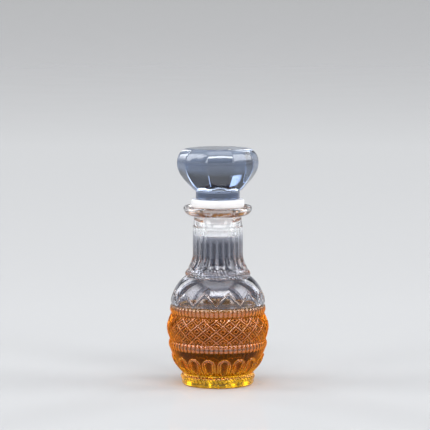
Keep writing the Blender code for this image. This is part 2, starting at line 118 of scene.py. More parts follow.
# Shoulder: a zigzag line with painted shade under it, then smooth
ZIGZAGS = 12
ZIGZAG_FOOT = 1.2 * MM
ZIGZAG_HEIGHT = 7.8 * MM
ZIGZAG_RIDGE = 0.4 * MM
ZIGZAG_WIDTH = 0.7 * MM
ZIGZAG_SHADE = 0.6
# The smooth glass is painted a little darker than the line: painted shade
PLAIN_CREST = 0.8  # the crest value of the smooth glass, a little darker than the line
SHOULDER_HEIGHT = 18.0 * MM

# Neck: a rope ring, hollow flutes and a plain collar under the lip
NECK_RING_RADIUS = 21.3 * MM
NECK_RING_HEIGHT = 4.7 * MM
NECK_RING_BOW = 1.2 * MM
NECK_RADIUS = 16.2 * MM
NECK_FOOT_RADIUS = 18.9 * MM
NECK_FLARE_HEIGHT = 8.0 * MM
FLUTES = 24
FLUTE_HEIGHT = 27.0 * MM
FLUTE_DEPTH = 0.5 * MM
COLLAR_RADIUS = 15.5 * MM
LIP_RIM_WIDTH = 4.3 * MM
LIP_FLARE_HEIGHT = 5.2 * MM
LIP_EDGE_HEIGHT = 1.4 * MM
LIP_EDGE_WIDTH = 1.0 * MM
DISH_DEPTH = 1.1 * MM
DISH_CLEARANCE = 0.8 * MM
DISH_CURVE = 1.6
MOUTH_ROUNDING = 0.5 * MM

# Shares of a flute's height: its rings, its rounded ends, and where its painted shade stops
FLUTE_RINGS = (0.0, 0.02, 0.04, 0.07, 0.1, 0.14, 0.18, 0.22, 0.27, 0.33, 0.6, 0.72, 0.9, 0.94,
               0.97, 0.985, 1.0)
FLUTE_FOOT_ROUNDING = 0.08
FLUTE_TOP_ROUNDING = 0.04
FLUTE_SHADE_TOP = 0.62
FLUTE_SHADE_FADE = 0.1

# Inside of the bottle
WALL = 3.4 * MM
BASE_THICKNESS = 7.2 * MM
BOWL_HEIGHT = 12.0 * MM
BOWL_SQUARENESS = 2.2
BORE_RADIUS = 9.8 * MM
THROAT_SHARE = 0.88
THROAT_HEIGHT = 11.0 * MM
SOAK = 0.05 * MM  # how far the whiskey reaches into the glass, so that no air shows between them
MENISCUS_HEIGHT = 0.9 * MM
MENISCUS_WIDTH = 2.6 * MM
MENISCUS_CURVE = 3

# Sleeve: a flange on the lip, and a plug whose soft fins press on the bore
FLANGE_ROUNDING = 1.1 * MM
FLANGE_FILLET = 0.4 * MM
FLANGE_RING = 0.8  # where the flange's flat underside has a ring, as a share of its radius
PLUG_RADIUS = 9.6 * MM
PLUG_CHAMFER_WIDTH = 0.6 * MM
PLUG_CHAMFER_HEIGHT = 0.4 * MM
SOCKET_CHAMFER = 0.3 * MM
FINS = 4
FIN_PITCH = 3.7 * MM
FIN_HEIGHT = 1.0 * MM
FIN_REACH = 9.84 * MM
FIN_CURVE = 1.5
SEAT_GAP = 0.3 * MM

# Stopper head
SHANK_RADIUS = 6.0 * MM
SHANK_TAPER = 0.4 * MM
HEAD_NECK_RADIUS = 14.3 * MM
HEAD_NECK_HEIGHT = 5.2 * MM
HEAD_NECK_ROUNDING = 0.5 * MM
HEAD_NECK_FILLET = 0.9 * MM
HEAD_RADIUS = 26.4 * MM
HEAD_TOP_RADIUS = 18.1 * MM
HEAD_TOP_RINGS = (0.85, 0.5, 0.2)  # shares of the top's radius
HEAD_WIDEST_SHARE = 0.64
CROWN_SQUARENESS = 2.2
PANELS = 10
PANEL_DEPTH = 1.1 * MM
# How far from each corner of the head's neck its painted shade line fades
BASE_SHADE_HEIGHT = 1.0 * MM  # how far from each corner the dark line in it fades
BOWL_SHADE_HEIGHT = 1.6 * MM

# Shares of the body's radius at the joins of its bands, and the shoulder's and flare's curves
ARCH_TOP_SHARE = 0.918
GROOVE_TOP_SHARE = 0.940
LOWER_NOTCH_SHARE = 0.946
UPPER_NOTCH_SHARE = 0.915
SHOULDER_SHARE = 0.914
SHOULDER_CENTRE_SHARE = 0.24
FLARE_CURVE = 1.5

# Levels, from the table up
WAIST = FOOT_RING_HEIGHT + ROPE_HEIGHT
ARCH_BASE = WAIST + NOTCH_HEIGHT
GROOVE_BASE = ARCH_BASE + ARCH_HEIGHT
LOWER_RIB_BASE = GROOVE_BASE + GROOVE_HEIGHT
DIAMOND_BASE = LOWER_RIB_BASE + RIB_HEIGHT
DIAMOND_TOP = DIAMOND_BASE + 2 * DIAMOND_MARGIN + CELL_ROWS * CELL_HEIGHT
SHOULDER_BASE = DIAMOND_TOP + RIB_HEIGHT
SHOULDER_TOP = SHOULDER_BASE + SHOULDER_HEIGHT
NECK_BASE = SHOULDER_TOP + NECK_RING_HEIGHT + NOTCH_HEIGHT
COLLAR_BASE = NECK_BASE + FLUTE_HEIGHT
LIP_BASE = LIP_TOP - LIP_FLARE_HEIGHT - LIP_EDGE_HEIGHT
SEAT = LIP_TOP - DISH_DEPTH
HEAD_BASE = FLANGE_TOP + SEAT_GAP
WATERLINE = WHISKEY_LEVEL + MENISCUS_HEIGHT

# Radii that follow from their neighbours'
WAIST_RADIUS = FOOT_RADIUS - NOTCH_DEPTH
SHOULDER_TOP_RADIUS = NECK_RING_RADIUS - ROPE_DEPTH
SHOULDER_CENTRE = SHOULDER_CENTRE_SHARE * SHOULDER_TOP_RADIUS
SHOULDER_REACH = BODY_RADIUS * SHOULDER_SHARE - SHOULDER_CENTRE
SHOULDER_CLOSING = (SHOULDER_TOP_RADIUS - SHOULDER_CENTRE) / SHOULDER_REACH
SHOULDER_RISE = SHOULDER_HEIGHT / math.sqrt(1 - SHOULDER_CLOSING ** 2)
LIP_RADIUS = FLANGE_RADIUS + DISH_CLEARANCE + LIP_RIM_WIDTH

# Each join of the belly's bands: its level, its radius, and the swell of the band above it
BELLY_JOINS = (
    (ARCH_BASE, WAIST_RADIUS + ARCH_RELIEF, ARCH_BOW),
    (GROOVE_BASE, BODY_RADIUS * ARCH_TOP_SHARE, 0.0),
    (LOWER_RIB_BASE, BODY_RADIUS * GROOVE_TOP_SHARE, RIB_BOW),
    (DIAMOND_BASE, BODY_RADIUS * LOWER_NOTCH_SHARE, DIAMOND_BOW),
    (DIAMOND_TOP, BODY_RADIUS * UPPER_NOTCH_SHARE, RIB_BOW),
    (SHOULDER_BASE, BODY_RADIUS * SHOULDER_SHARE, 0.0),
)

# Columns in each repeat of a pattern, and round the plain stretches
BEAD_COLUMNS = 8
ARCH_COLUMNS = 28
RIB_COLUMNS = 8
CELL_COLUMNS = 20
ZIGZAG_COLUMNS = 40
FLUTE_COLUMNS = 12
PANEL_COLUMNS = 24
PLAIN_COLUMNS = 144
INSIDE_COLUMNS = 120

# Rings in each band or curve, from the foot up; the diamonds and the zigzag follow their columns
ROPE_RINGS = 10
ARCH_RINGS = 31
RIB_RINGS = 13
MARGIN_RINGS = 3
SHOULDER_RINGS = 8
NECK_ROPE_RINGS = 11
DISH_RINGS = 6
BOWL_RINGS = 15
WET_WALL_RINGS = 14
DRY_WALL_RINGS = 11
THROAT_RINGS = 8
MENISCUS_RINGS = 7
FIN_RINGS = 7
HEAD_BOWL_RINGS = 25
HEAD_CROWN_RINGS = 19

SHARP_ANGLE = math.radians(60)
UPPER_GLASS = 1  # places in the bottle's list of finishes
WETTED_GLASS = 2


# Shapes of outlines and lines

def bowed(low, high, bow, share):
    """A radius that runs from low to high and swells by bow halfway."""
    return low + (high - low) * share + bow * math.sin(math.pi * share)


def shares(count, start=0.0):
    """Even steps from start to 1, both included."""
    return np.linspace(start, 1.0, count)


def above(low, high, count):
    """Even steps up from low to high, without low itself."""
    return np.linspace(low, high, count + 1)[1:]


def arc(radius, height, reach, rise, start, end, steps):
    """Outline points on an elliptical arc round (radius, height), by angles in degrees."""
    turns = np.radians(np.linspace(start, end, steps + 1))
    return list(zip(radius + reach * np.cos(turns), height + rise * np.sin(turns)))


def rounded(radius, height, rounding, start, end, steps):
    """Outline points on a round corner, whose centre is (radius, height)."""
    return arc(radius, height, rounding, rounding, start, end, steps)


def ridge(distance, width):
    """A rounded line: 1 along its middle, 0 from width away on."""
    return 0.5 + 0.5 * np.cos(math.pi * np.clip(np.abs(distance) / width, 0, 1))


def dome(distance):
    """A half round: 1 at its middle, 0 from a distance of 1 on."""
    return np.sqrt(1 - np.clip(distance, 0, 1) ** 2)


def fold(turns):
    """How far each value is from the nearest whole number, from 0 to 0.5."""
    return np.abs(turns - np.round(turns))


def columns(repeats, each, start=FACE_ON):
    """Columns all round a band, each as a place counted in repeats of its pattern, and an angle."""
    steps = np.arange(repeats * each)
    return steps / each, start + steps * TURN / (repeats * each)


def shoulder_radius(height, inset=0.0):
    climb = min(1.0, (height - SHOULDER_BASE) / (SHOULDER_RISE - inset))
    return SHOULDER_CENTRE + (SHOULDER_REACH - inset) * math.sqrt(1 - climb ** 2)


def belly_radius(height):
    """The bottle's outer radius between waist and neck ring, at the crests of its relief."""
    if height >= SHOULDER_BASE:
        return shoulder_radius(height)
    for (low, low_radius, bow), (high, high_radius, _) in zip(BELLY_JOINS, BELLY_JOINS[1:]):
        if height <= high:
            share = max(0.0, (height - low) / (high - low))
            return bowed(low_radius, high_radius, bow, share)


def cavity_radius(height):
    """The inside of the bottle: a wall in from the belly, rounded off at the floor."""
    if height >= SHOULDER_BASE:
        return shoulder_radius(height, WALL)
    short = 1 - min(1.0, (height - BASE_THICKNESS) / BOWL_HEIGHT)
    rounding = (1 - short ** BOWL_SQUARENESS) ** (1 / BOWL_SQUARENESS)
    return (belly_radius(height) - WALL) * rounding


# A surface made of rings

class Surface:
    """Rings of points, each joined to the one before: like rings by quads, unlike by triangles."""

    def __init__(self):
        self.points = []
        self.crests = []
        self.faces = []
        self.last = None

    def add(self, angles, radius, height, crest=1.0):
        """Adds a ring after the last one. Radius, height and crest are one value or one for each
        angle; the crest is 1 on top of the relief and 0 in its grooves, and lower wherever painted
        shade darkens the glass."""
        radius = np.broadcast_to(radius, angles.shape)
        height = np.broadcast_to(height, angles.shape)
        self.crests.extend(np.broadcast_to(crest, angles.shape).tolist())
        start = len(self.points)
        places = np.stack([radius * np.sin(angles), -radius * np.cos(angles), height], 1)
        self.points.extend(places.tolist())
        ring = (start, angles)
        if self.last is not None:
            if len(self.last[1]) == len(angles):
                self.join(self.last[0], start, len(angles))
            else:
                self.zip(self.last, ring)
        self.last = ring

    def join(self, lower, upper, count):
        for step in range(count):
            after = (step + 1) % count
            self.faces.append((lower + step, lower + after, upper + after, upper + step))

    def zip(self, lower, upper):
        """Triangles between two rings of unlike counts, in the order of their angles."""
        low_start, low_angles = lower
        high_start, high_angles = upper
        first = low_angles[0]
        order = np.argsort((high_angles - first) % TURN)
        high_turns = np.sort((high_angles - first) % TURN)
        low_turns = np.append(low_angles - first, TURN)
        high_turns = np.append(high_turns, high_turns[0] + TURN)
        low_count, high_count = len(low_angles), len(high_angles)
        left = right = 0
        while left < low_count or right < high_count:
            near = low_start + left % low_count
            far = high_start + order[right % high_count]
            along_lower = right == high_count
            if left < low_count and right < high_count:
                along_lower = low_turns[left + 1] <= high_turns[right + 1]
            if along_lower:
                left += 1
                self.faces.append((near, low_start + left % low_count, far))
            else:
                right += 1
                self.faces.append((near, high_start + order[right % high_count], far))

    def close(self, height, facing_up):
        """Closes the last ring with a point on the axis. The first ring, closed before the next
        one is added, is the underside."""
        start, angles = self.last
        centre = len(self.points)
        self.points.append((0.0, 0.0, height))
        self.crests.append(1.0)
        for step in range(len(angles)):
            pair = (start + step, start + (step + 1) % len(angles))
            self.faces.append((*(pair if facing_up else pair[::-1]), centre))

    def turned(self, count, outline):
        """Plain rings along an outline of (radius, height) points."""
        _, angles = columns(1, count)
        for radius, height in outline:
            self.add(angles, radius, height)

    def turned_from_axis(self, count, outline, base):
        """The same, with its first ring closed underneath."""
        self.turned(count, outline[:1])
        self.close(base, facing_up=False)
        self.turned(count, outline[1:])

    def piece(self, name, body, node):
        """Makes the mesh an object that rides on a body and stands for a solid."""
        data = bpy.data.meshes.new(name)
        data.from_pydata(self.points, [], self.faces)
        data.shade_smooth()
        data.set_sharp_from_angle(angle=SHARP_ANGLE)
        data.attributes.new("crest", "FLOAT", "POINT").data.foreach_set("value", self.crests)
        made = bpy.data.objects.new(name, data)
        bpy.context.scene.collection.objects.link(made)
        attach(made, body)
        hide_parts(node)
        return made


# The bottle's bands, from the foot up

def foot(surface):
    """A shallow punt, the flat ring round it and the rounded outer edge."""
    contact = FOOT_RADIUS - ROPE_DEPTH - FOOT_ROUNDING
    rim = contact - FOOT_RIM_WIDTH
    flat = rim * PUNT_SHARE
    side = rim * (1 - PUNT_SHARE)
    outline = [(flat * share, PUNT_HEIGHT) for share in PUNT_RINGS]
    outline += arc(flat, PUNT_HEIGHT / 2, side, PUNT_HEIGHT / 2, 90, -90, steps=6)
    outline[-1] = (rim, 0.0)
    outline += rounded(contact, FOOT_ROUNDING, FOOT_ROUNDING, -90, 0, steps=7)
    surface.turned_from_axis(PLAIN_COLUMNS, outline, PUNT_HEIGHT)


def rope(surface, base, height, low, high, bow, rings):
    """Rounded beads that lean over; the columns lean with them."""
    turns, _ = columns(ROPE_BEADS, BEAD_COLUMNS)
    across = fold(turns) * 2
    bead = dome(across * BEAD_ROUNDNESS)
    for share in shares(rings):
        angles = FACE_ON + (turns - ROPE_LEAN * share) * TURN / ROPE_BEADS
        end = min(1.0, BEAD_END_SLOPE * math.sin(math.pi * share))
        radius = bowed(low, high, bow, share) - ROPE_DEPTH * (1 - bead) * end
        surface.add(angles, radius, base + height * share, bead)


def arches(surface):
    """Raised arches with a raised oval under each, and a hollow in the oval."""
    turns, angles = columns(ARCHES, ARCH_COLUMNS)
    across = turns % 1 - 0.5
    for share in shares(ARCH_RINGS):
        up = ARCH_HEIGHT * share
        radius = belly_radius(ARCH_BASE + up)
        pitch = radius * TURN / ARCHES
        half = pitch * ARCH_HALF_WIDTH
        spring = ARCH_CROWN - LOOP_WIDTH - half
        x = across * pitch
        arch = np.hypot(x, max(0.0, up - spring)) - half
        oval_half = pitch * OVAL_HALF_WIDTH
        straight = OVAL_HALF_HEIGHT - oval_half
        oval = np.hypot(x, max(0.0, abs(up - OVAL_CENTRE) - straight)) - oval_half
        raised = np.maximum(ridge(arch, LOOP_WIDTH), ridge(oval, LOOP_WIDTH))
        hollow = np.clip((-oval - LOOP_WIDTH) / (oval_half - LOOP_WIDTH), 0, 1)
        dip = (HOLLOW_DEPTH - ARCH_RELIEF) * np.sin(hollow * math.pi / 2)
        cut = ARCH_RELIEF * (1 - raised) + dip
        surface.add(angles, radius - cut, ARCH_BASE + up, raised)


def ribs(surface, base):
    """Upright ribs with rounded ends, side by side."""
    turns, angles = columns(RIBS, RIB_COLUMNS)
    across = fold(turns)
    for share in shares(RIB_RINGS):
        height = base + RIB_HEIGHT * share
        radius = belly_radius(height)
        pitch = radius * TURN / RIBS
        past = max(0.0, abs(share - 0.5) * RIB_HEIGHT - (RIB_HEIGHT - pitch) / 2)
        reach = np.hypot(across * pitch, past) / (pitch / 2)
        rib = dome(reach * RIB_ROUNDNESS)
        foot_end = min(1.0, RIB_END_SLOPE * share)
        both_ends = min(foot_end, RIB_END_SLOPE * (1 - share))
        # The crest falls to 0 along the band's lower edge: a painted shade line there
        surface.add(angles, radius - RIB_DEPTH * both_ends * (1 - rib), height, rib * foot_end)


def diamonds(surface):
    """A lattice of raised lines, with a smaller raised diamond in each cell."""
    turns, angles = columns(DIAMONDS, CELL_COLUMNS)
    rings = CELL_ROWS * CELL_COLUMNS
    for ring in range(-MARGIN_RINGS, rings + MARGIN_RINGS + 1):
        up = CELL_HEIGHT * ring / CELL_COLUMNS
        if ring < 0:
            up = DIAMOND_MARGIN * ring / MARGIN_RINGS
        elif ring > rings:
            up = CELL_HEIGHT * CELL_ROWS + DIAMOND_MARGIN * (ring - rings) / MARGIN_RINGS
        height = DIAMOND_BASE + DIAMOND_MARGIN + up
        radius = belly_radius(height)
        pitch = radius * TURN / DIAMONDS
        spacing = pitch * CELL_HEIGHT / math.hypot(pitch, CELL_HEIGHT)
        one = fold(turns + up / CELL_HEIGHT)
        other = fold(turns - up / CELL_HEIGHT)
        off = np.minimum(one, other) * spacing
        inner = ridge(off - INNER_DIAMOND, INNER_WIDTH) * INNER_SHARE
        raised = np.maximum(ridge(off, LATTICE_WIDTH), inner)
        at_top = ring == rings + MARGIN_RINGS
        fade = 0.0 if at_top or ring == -MARGIN_RINGS else 1.0
        # The crest is 0 along the band's top ring: a painted shade line there
        surface.add(angles, radius - CELL_DEPTH * fade * (1 - raised), height,
                    0.0 if at_top else raised)


def shoulder(surface):
    """A raised zigzag line, with painted shade along its underside, round the foot of a smooth
    shoulder.
    """
    turns, angles = columns(ZIGZAGS, ZIGZAG_COLUMNS)
    line = ZIGZAG_FOOT + ZIGZAG_HEIGHT * 2 * fold(turns)
    row_height = ZIGZAG_HEIGHT / (ZIGZAG_COLUMNS / 2)
    rows = range(-MARGIN_RINGS, ZIGZAG_COLUMNS // 2 + MARGIN_RINGS + 1)
    levels = [ZIGZAG_FOOT + row_height * row for row in rows]
    levels += list(above(levels[-1], SHOULDER_HEIGHT, SHOULDER_RINGS))
    for up in [0.0] + [level for level in levels if level > 0]:
        radius = shoulder_radius(SHOULDER_BASE + up)
        slope = 2 * ZIGZAG_HEIGHT / (radius * TURN / ZIGZAGS)
        off = (up - line) / math.hypot(1, slope)
        raised = ridge(off, ZIGZAG_WIDTH)
        under = ridge(off + ZIGZAG_WIDTH, ZIGZAG_WIDTH)
        crest = PLAIN_CREST + (1 - PLAIN_CREST) * raised - ZIGZAG_SHADE * under
        surface.add(angles, radius + ZIGZAG_RIDGE * raised, SHOULDER_BASE + up, crest)


def flutes(surface):
    """Hollow flutes between sharp edges, which flare out at the foot of the neck. Their hollows
    carry painted shade, which darkens the glass below the plug and not in front of it."""
    turns, angles = columns(FLUTES, FLUTE_COLUMNS)
    hollow = 1 - (1 - 2 * fold(turns)) ** 2
    for share in FLUTE_RINGS:
        height = NECK_BASE + FLUTE_HEIGHT * share
        short = max(0.0, 1 - FLUTE_HEIGHT * share / NECK_FLARE_HEIGHT)
        radius = NECK_RADIUS + (NECK_FOOT_RADIUS - NECK_RADIUS) * short ** FLARE_CURVE
        end = min(1.0, share / FLUTE_FOOT_ROUNDING, (1 - share) / FLUTE_TOP_ROUNDING)
        cut = FLUTE_DEPTH * hollow * math.sqrt(1 - (1 - end) ** 2)
        shade = 1 - min(1.0, max(0.0, (share - FLUTE_SHADE_TOP) / FLUTE_SHADE_FADE))
        surface.add(angles, radius - cut, height, 1 - shade * hollow)


def lip(surface):
    """From the collar round the flared lip, down its dish and into the mouth."""
    flare_top = LIP_BASE + LIP_FLARE_HEIGHT
    flare_reach = LIP_RADIUS - COLLAR_RADIUS
    edge = LIP_RADIUS - LIP_EDGE_WIDTH
    dish = FLANGE_RADIUS + DISH_CLEARANCE
    mouth = BORE_RADIUS + MOUTH_ROUNDING
    outline = [(COLLAR_RADIUS, COLLAR_BASE + FLUTE_DEPTH)]
    outline += arc(COLLAR_RADIUS, flare_top, flare_reach, LIP_FLARE_HEIGHT, -90, 0, steps=12)
    outline += arc(edge, flare_top, LIP_EDGE_WIDTH, LIP_EDGE_HEIGHT, 0, 90, steps=7)[1:]
    outline += [(edge - (edge - dish) * share, LIP_TOP - DISH_DEPTH * share ** DISH_CURVE)
                for share in shares(DISH_RINGS, start=0.2)]
    outline += [(dish - (dish - mouth) * share, SEAT) for share in (0.5, 1.0)]
    outline += rounded(mouth, SEAT - MOUTH_ROUNDING, MOUTH_ROUNDING, 90, 180, steps=4)[1:]
    surface.turned(PLAIN_COLUMNS, outline)


def wet_outline():
    """(radius, height) points from beside the floor's centre up to the whiskey's edge."""
    bowl_top = BASE_THICKNESS + BOWL_HEIGHT
    bowl = shares(BOWL_RINGS, start=0.12)
    levels = [BASE_THICKNESS + BOWL_HEIGHT * share ** 2 for share in bowl]
    levels += list(above(bowl_top, WATERLINE, WET_WALL_RINGS))
    return [(cavity_radius(level), level) for level in levels]


def dry_outline():
    """(radius, height) points from above the whiskey's edge up to the bore."""
    base = SHOULDER_BASE + (SHOULDER_RISE - WALL) * THROAT_SHARE
    levels = above(WATERLINE, base, DRY_WALL_RINGS)
    points = [(cavity_radius(level), level) for level in levels]
    widest = cavity_radius(base)
    for share in above(0.0, 1.0, THROAT_RINGS):
        radius = widest + (BORE_RADIUS - widest) * math.sin(math.pi / 2 * share)
        points.append((radius, base + THROAT_HEIGHT * share))
    return points


# The pieces

def bottle():
    """The glass body: up its outside, over the lip and down the inside to the floor."""
    surface = Surface()
    foot(surface)
    foot_top = FOOT_RADIUS - ROPE_DEPTH
    rope(surface, FOOT_RING_HEIGHT, ROPE_HEIGHT, foot_top, WAIST_RADIUS, ROPE_BOW, ROPE_RINGS)
    arches(surface)
    ribs(surface, LOWER_RIB_BASE)
    diamonds(surface)
    ribs(surface, DIAMOND_TOP)
    shoulder(surface)
    rope(surface, SHOULDER_TOP, NECK_RING_HEIGHT, SHOULDER_TOP_RADIUS, NECK_FOOT_RADIUS,
         NECK_RING_BOW, NECK_ROPE_RINGS)
    flutes(surface)
    lip(surface)
    surface.turned(INSIDE_COLUMNS, dry_outline()[::-1])
    wet = wet_outline()[::-1]
    surface.turned(INSIDE_COLUMNS, wet[:1])
    dry_faces = len(surface.faces)
    surface.turned(INSIDE_COLUMNS, wet[1:])
    surface.close(BASE_THICKNESS, facing_up=True)
    made = surface.piece("bottle_glass", "bottle", "bottle")
    for material in (lower_glass(), upper_glass(), wetted_glass()):
        made.data.materials.append(material)
    for face in made.data.polygons:
        if face.index >= dry_faces:
            face.material_index = WETTED_GLASS
        elif face.center.z > WHISKEY_LEVEL:
            face.material_index = UPPER_GLASS


def whiskey():
    """The whiskey, a hair into the glass, with its surface drawn up at the wall."""
    surface = Surface()
    walls = wet_outline()
    outline = []
    for (radius, height), (next_radius, next_height) in zip(walls, walls[1:]):
        slope = Vector((next_radius - radius, next_height - height)).normalized()
        outline.append((radius + SOAK * slope.y, height - SOAK * slope.x))
    outline.append((cavity_radius(WATERLINE) + SOAK, WATERLINE))
    wall = cavity_radius(WHISKEY_LEVEL)
    for share in shares(MENISCUS_RINGS, start=0.12):
        drawn_up = MENISCUS_HEIGHT * (1 - share) ** MENISCUS_CURVE
        outline.append((wall - MENISCUS_WIDTH * share, WHISKEY_LEVEL + drawn_up))
    outline.append((wall / 2, WHISKEY_LEVEL))
    surface.turned_from_axis(INSIDE_COLUMNS, outline, BASE_THICKNESS - SOAK)
    surface.close(WHISKEY_LEVEL, facing_up=True)
    made = surface.piece("whiskey_liquid", "bottle", "whiskey")
    made.data.materials.append(amber_whiskey())


def sleeve():
    """A flange over a plug with soft fins, hollow for the head's shank."""
    flange_base = SEAT + SEAT_GAP
    shelf = FLANGE_RADIUS - FLANGE_ROUNDING
    shelf_top = FLANGE_TOP - FLANGE_ROUNDING
    socket = SHANK_RADIUS + SEAT_GAP
    socket_floor = SHANK_BASE - SEAT_GAP
    outline = [(PLUG_RADIUS / 2, PLUG_BASE), (PLUG_RADIUS - PLUG_CHAMFER_WIDTH, PLUG_BASE)]
    outline.append((PLUG_RADIUS, PLUG_BASE + PLUG_CHAMFER_HEIGHT))
    for fin in range(FINS):
        middle = PLUG_BASE + FIN_HEIGHT / 2 + PLUG_CHAMFER_HEIGHT + FIN_PITCH * fin
        for share in shares(FIN_RINGS, start=-1.0):
            reach = (FIN_REACH - PLUG_RADIUS) * float(dome(abs(share))) ** FIN_CURVE
            outline.append((PLUG_RADIUS + reach, middle + FIN_HEIGHT / 2 * share))
    outline.append((PLUG_RADIUS, flange_base - FLANGE_FILLET))
    outline += [(PLUG_RADIUS + FLANGE_FILLET, flange_base), (shelf * FLANGE_RING, flange_base)]
    outline += rounded(shelf, flange_base + FLANGE_ROUNDING, FLANGE_ROUNDING, -90, 0, steps=6)
    outline += rounded(shelf, shelf_top, FLANGE_ROUNDING, 0, 90, steps=6)
    outline += [(socket + SOCKET_CHAMFER, FLANGE_TOP), (socket, FLANGE_TOP - SOCKET_CHAMFER)]
    outline += [(socket - SHANK_TAPER, socket_floor), (socket / 2, socket_floor)]
    surface = Surface()
    surface.turned_from_axis(PLAIN_COLUMNS, outline, PLUG_BASE)
    surface.close(socket_floor, facing_up=True)
    made = surface.piece("stopper_sleeve_plastic", "sleeve", "stopper_sleeve")
    made.data.materials.append(milky_plastic())


def head():
    """A solid knob with soft upright panels, on a round neck with a shank. Its crest is 0 in the
    two corners of the neck, where it carries a painted shade line."""
    bowl_base = HEAD_BASE + HEAD_NECK_HEIGHT
    widest = bowl_base + (HEAD_TOP - bowl_base) * HEAD_WIDEST_SHARE
    neck = HEAD_NECK_RADIUS - HEAD_NECK_ROUNDING
    start = HEAD_NECK_RADIUS + HEAD_NECK_FILLET
    lower = [(SHANK_RADIUS - SHANK_TAPER, SHANK_BASE), (SHANK_RADIUS, HEAD_BASE)]
    lower.append((neck, HEAD_BASE))
    lower += rounded(neck, HEAD_BASE + HEAD_NECK_ROUNDING, HEAD_NECK_ROUNDING, -90, 0, steps=4)[1:]
    lower += rounded(start, bowl_base - HEAD_NECK_FILLET, HEAD_NECK_FILLET, 180, 90, steps=5)
    outline = [(radius, height, 0.0) for radius, height in lower]
    for share in above(0.0, 1.0, HEAD_BOWL_RINGS):
        radius = start + (HEAD_RADIUS - start) * math.sin(math.pi / 2 * share)
        outline.append((radius, bowl_base + (widest - bowl_base) * share, min(1.0, 2 * share)))
    for turn in above(0.0, 1.0, HEAD_CROWN_RINGS):
        share = math.sin(math.pi / 2 * turn)
        closing = (1 - share ** CROWN_SQUARENESS) ** (1 / CROWN_SQUARENESS)
        radius = HEAD_TOP_RADIUS + (HEAD_RADIUS - HEAD_TOP_RADIUS) * closing
        outline.append((radius, widest + (HEAD_TOP - widest) * share, closing))
    outline += [(HEAD_TOP_RADIUS * share, HEAD_TOP, 0.0) for share in HEAD_TOP_RINGS]
    turns, angles = columns(PANELS, PANEL_COLUMNS, PANEL_EDGE)
    panel = np.sin(math.pi * (turns % 1))
    surface = Surface()
    surface.add(angles, outline[0][0], outline[0][1])
    surface.close(SHANK_BASE, facing_up=False)
    for radius, height, fullness in outline[1:]:
        off_base = abs(height - HEAD_BASE) / BASE_SHADE_HEIGHT
        off_bowl = abs(height - bowl_base) / BOWL_SHADE_HEIGHT
        crest = min(1.0, off_base, off_bowl)
        surface.add(angles, radius - PANEL_DEPTH * fullness * panel, height, crest)
    surface.close(HEAD_TOP, facing_up=True)
    made = surface.piece("stopper_head_glass", "stopper", "stopper_head")
    made.data.materials.append(pressed_glass("stopper_glass", head_tint_and_painted_light, HEAD_RIPPLE, HEAD_GLOSS))


# Finishes

WHITE = (1.0, 1.0, 1.0, 1.0)

# Pressed glass: refraction, a gloss on the crests, a ripple in two sizes and a faint roughness
GLASS_IOR = 1.51
GLOSS_IOR = 2.4
GLOSS_ROUGHNESS = 0.12
GLOSS_CURVE = 2.0
GLOSS_EDGE_BLUR = 0.6
FOOT_GLOSS_LOSS = 0.75
LOWER_GLOSS = 1.0
UPPER_GLOSS = 0.3
HEAD_GLOSS = 0.5
BOTTLE_RIPPLE = 0.00005
HEAD_RIPPLE = 0.00008
RIPPLE_SCALE = 170.0
RIPPLE_STRETCH = (1.0, 1.0, 0.6)
FINE_RIPPLE_SCALE = 700.0
FINE_RIPPLE_SHARE = 0.2
ROUGHNESS_SCALE = 240.0
GLASS_ROUGHNESS = 0.012

# Tints of the clear glass, and of the head, with painted shade in the grooves, towards the edges
# and below the plug, and a painted highlight towards the head's top
TINT_SCALE = 60.0
CLEAR_TINT = (0.99, 0.992, 0.995, 1.0)
CLEAR_SHADE = (0.95, 0.96, 0.97, 1.0)
# Painted shade towards the edges of the clear glass
EDGE_SHADE = (0.42, 0.44, 0.48, 1.0)
GROOVE_SHADE = (0.08, 0.09, 0.12, 1.0)
BELOW_SHADE = (0.60, 0.61, 0.67, 1.0)
PLUG_SHADE_FADE = 2.0 * MM
HEAD_TINT = (0.19, 0.25, 0.38, 1.0)
HEAD_SHADE = (0.10, 0.16, 0.30, 1.0)
HEAD_CORNER_SHADE = (0.16, 0.20, 0.32, 1.0)
# How far down from the head's top its painted highlight fades
CROWN_FADE = 9.0 * MM

# Painted light from the whiskey: its glow painted into the glass round it, into the foot and the
# lip, painted shade in their grooves, and a gleam at the edges
GLEAM = (1.0, 0.50, 0.12, 1.0)
EDGE_GLEAM = 0.9
EDGE_GLEAM_START = 0.22
EDGE_GLEAM_BLUR = 0.4
WALL_GLOW = (1.0, 0.34, 0.035, 1.0)
WALL_GLOW_FADE = 2.0 * MM
WALL_SHADE_LOSS = 0.4
AMBER_GROOVE_SHADE = (0.045, 0.03, 0.035, 1.0)
FOOT_GLOW = (1.0, 0.55, 0.01, 1.0)
FOOT_GROOVE_SHADE = (0.40, 0.24, 0.15, 1.0)
FOOT_GLOW_TOP = 22.0 * MM
FOOT_GLOW_FADE = 14.0 * MM
LIP_GLOW = (0.17, 0.035, 0.001, 1.0)
LIP_GLOW_LEVEL = LIP_BASE + LIP_FLARE_HEIGHT * 0.45
LIP_GLOW_HALF_HEIGHT = LIP_FLARE_HEIGHT * 0.32
LIP_GLOW_FADE = 1.0 * MM
PATCH_SCALE = 380.0
PATCH_CONTRAST = 3.0
PATCH_LOSS = 0.45

# Whiskey
WHISKEY_IOR = 1.36
WHISKEY_COLOR = (0.992, 0.966, 0.0, 1.0)
WHISKEY_DENSITY = 300.0
WHISKEY_RIPPLE = 0.0003
WHISKEY_RIPPLE_SCALE = 90.0

